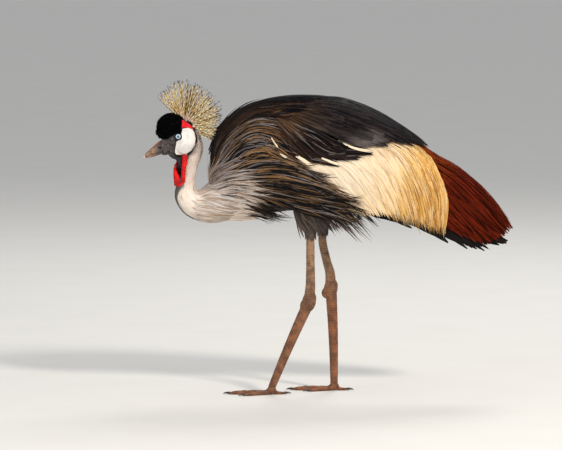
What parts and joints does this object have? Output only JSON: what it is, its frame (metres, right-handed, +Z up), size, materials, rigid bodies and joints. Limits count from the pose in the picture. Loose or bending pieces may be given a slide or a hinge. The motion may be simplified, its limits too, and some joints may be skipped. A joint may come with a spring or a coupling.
{
  "type": "grey crowned crane",
  "caption": "Life-size still model of an adult grey crowned crane, walking pose with lowered head, drawn-in neck, bristle crest and folded wings.",
  "frame": {"origin": "on the ground, under the middle of the bird's overall length, and on its plane of symmetry", "axes": "-X is the way the bird faces, -Y is its left side, +Z is up"},
  "size_m": [0.7378, 0.2062, 0.6226],
  "materials": {
    "face_slate": "short matt feathers and bare skin",
    "velvet_black": "velvety, fully matt",
    "crest_gold": "straw-like bristles, slight sheen",
    "bill_horn": "horn, satin",
    "wattle_scarlet": "bare skin, satin",
    "plumage_pale_grey": "soft feathers, matt",
    "plumage_slate": "lance-shaped feathers, satin",
    "plumage_black": "flight feathers, satin",
    "cheek_white": "bare skin, matt",
    "eye_iris": "polished",
    "plumage_cream": "hair-like covert feathers, satin",
    "plumage_chestnut": "long soft feathers, satin",
    "leg_scales": "scaled skin, satin",
    "claw_horn": "horn, satin"
  },
  "bodies": {
    "root": {"head": "face_slate", "cap": "velvet_black", "crest": "crest_gold", "upper_bill": "bill_horn", "lower_bill": "bill_horn", "wattle": "wattle_scarlet", "neck_upper": "plumage_pale_grey", "neck_lower": "plumage_pale_grey", "body": "plumage_slate", "tail": "plumage_black", "cheek_left": "cheek_white", "eye_left": "eye_iris", "wing_left": "plumage_cream", "secondaries_left": "plumage_chestnut", "primaries_left": "plumage_black", "thigh_left": "plumage_slate", "shank_left": "leg_scales", "tarsus_left": "leg_scales", "foot_left": "leg_scales", "claw_middle_left": "claw_horn", "claw_inner_left": "claw_horn", "claw_outer_left": "claw_horn", "claw_hind_left": "claw_horn", "cheek_right": "cheek_white", "eye_right": "eye_iris", "wing_right": "plumage_cream", "secondaries_right": "plumage_chestnut", "primaries_right": "plumage_black", "thigh_right": "plumage_slate", "shank_right": "leg_scales", "tarsus_right": "leg_scales", "foot_right": "leg_scales", "claw_middle_right": "claw_horn", "claw_inner_right": "claw_horn", "claw_outer_right": "claw_horn", "claw_hind_right": "claw_horn"}
  },
  "joints": []
}
